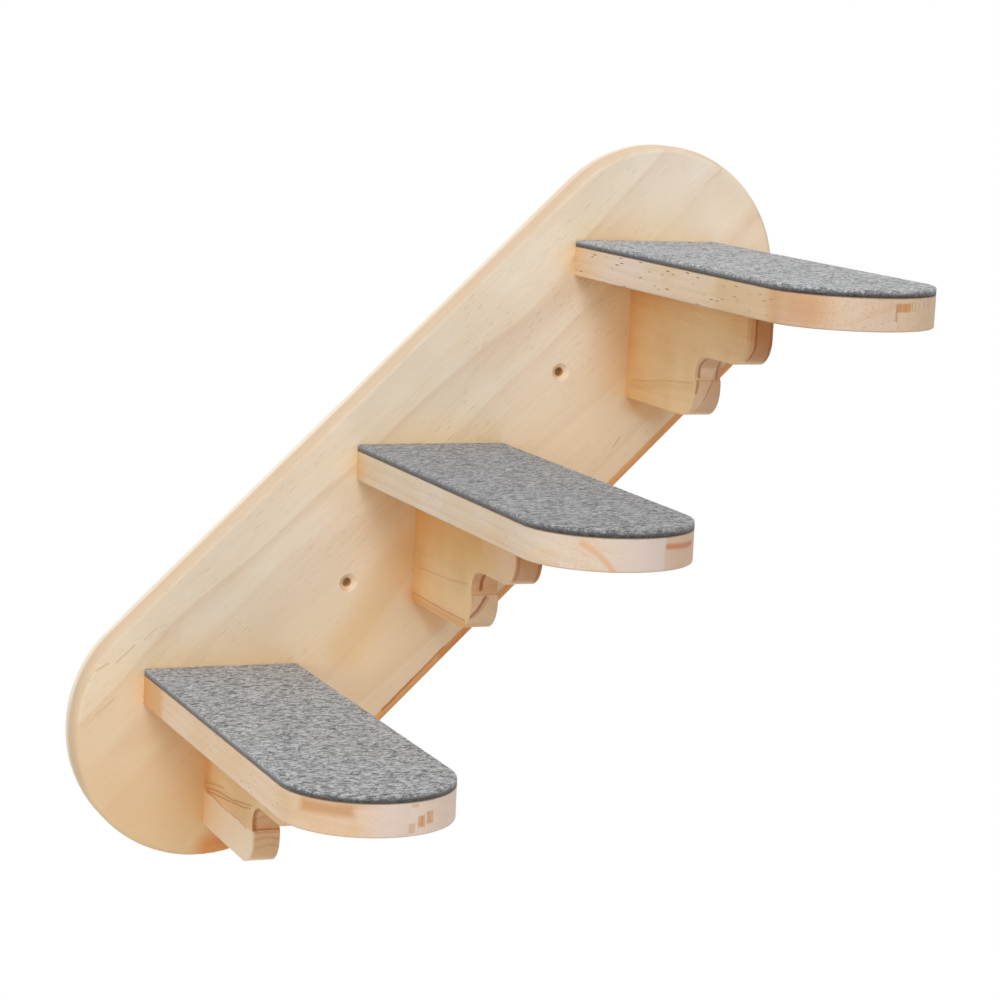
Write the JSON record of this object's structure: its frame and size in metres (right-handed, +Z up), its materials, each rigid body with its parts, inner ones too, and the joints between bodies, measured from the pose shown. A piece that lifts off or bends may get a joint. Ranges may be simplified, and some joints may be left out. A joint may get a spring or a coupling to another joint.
{
  "type": "wall-mounted cat ladder",
  "caption": "Wall-mounted cat ladder: felt-topped round-fronted wooden treads on scroll-cut brackets, climbing a sloping round-ended backboard.",
  "frame": {"origin": "middle of the backboard's back face, in the plane of the wall", "axes": "+X to the right along the wall, +Y into the wall, +Z up; the steps stand out towards -Y"},
  "size_m": [0.4322, 0.318, 0.4228],
  "materials": {
    "board_pine": "satin",
    "tread_pine": "satin",
    "bracket_pine": "satin",
    "felt": "heather grey felt",
    "screw_steel": "zinc plated",
    "dowel_beech": "matt"
  },
  "bodies": {
    "root": {"backboard": "board_pine", "tread_lower": "tread_pine", "tread_middle": "tread_pine", "tread_upper": "tread_pine", "felt_lower": "felt", "felt_middle": "felt", "felt_upper": "felt", "bracket_lower": "bracket_pine", "bracket_middle": "bracket_pine", "bracket_upper": "bracket_pine", "tread_screws_lower": "screw_steel", "tread_screws_middle": "screw_steel", "tread_screws_upper": "screw_steel", "bracket_screws_lower": "screw_steel", "bracket_screws_middle": "screw_steel", "bracket_screws_upper": "screw_steel", "top_screws_lower": "screw_steel", "top_screws_middle": "screw_steel", "top_screws_upper": "screw_steel", "dowels_lower": "dowel_beech", "dowels_middle": "dowel_beech", "dowels_upper": "dowel_beech"}
  },
  "joints": []
}
